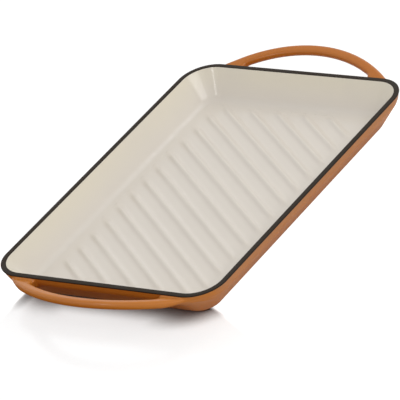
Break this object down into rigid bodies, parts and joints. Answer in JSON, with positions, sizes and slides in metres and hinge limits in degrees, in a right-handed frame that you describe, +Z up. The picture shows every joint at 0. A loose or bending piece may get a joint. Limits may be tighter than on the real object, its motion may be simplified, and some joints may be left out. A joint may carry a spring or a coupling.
{
  "type": "grill plate",
  "caption": "Rectangular enamelled cast-iron grill plate with sloping walls, a ribbed cooking floor and a loop handle at each short end.",
  "frame": {"origin": "middle of the flat sole, on the surface that the plate rests on", "axes": "+Z up out of the cooking well, +Y along the length towards one loop handle, +X across the width"},
  "size_m": [0.22, 0.3874, 0.0358],
  "materials": {
    "bare_iron": "matte",
    "cream_enamel": "glossy fired enamel",
    "orange_enamel": "glossy fired enamel",
    "black_rim_coat": "satin fired ground coat",
    "black_sole_coat": "matte fired ground coat"
  },
  "bodies": {
    "root": {"iron_casting": "bare_iron", "cream_interior_enamel": "cream_enamel", "orange_exterior_enamel": "orange_enamel", "black_rim_enamel": "black_rim_coat", "black_sole_enamel": "black_sole_coat"}
  },
  "joints": []
}
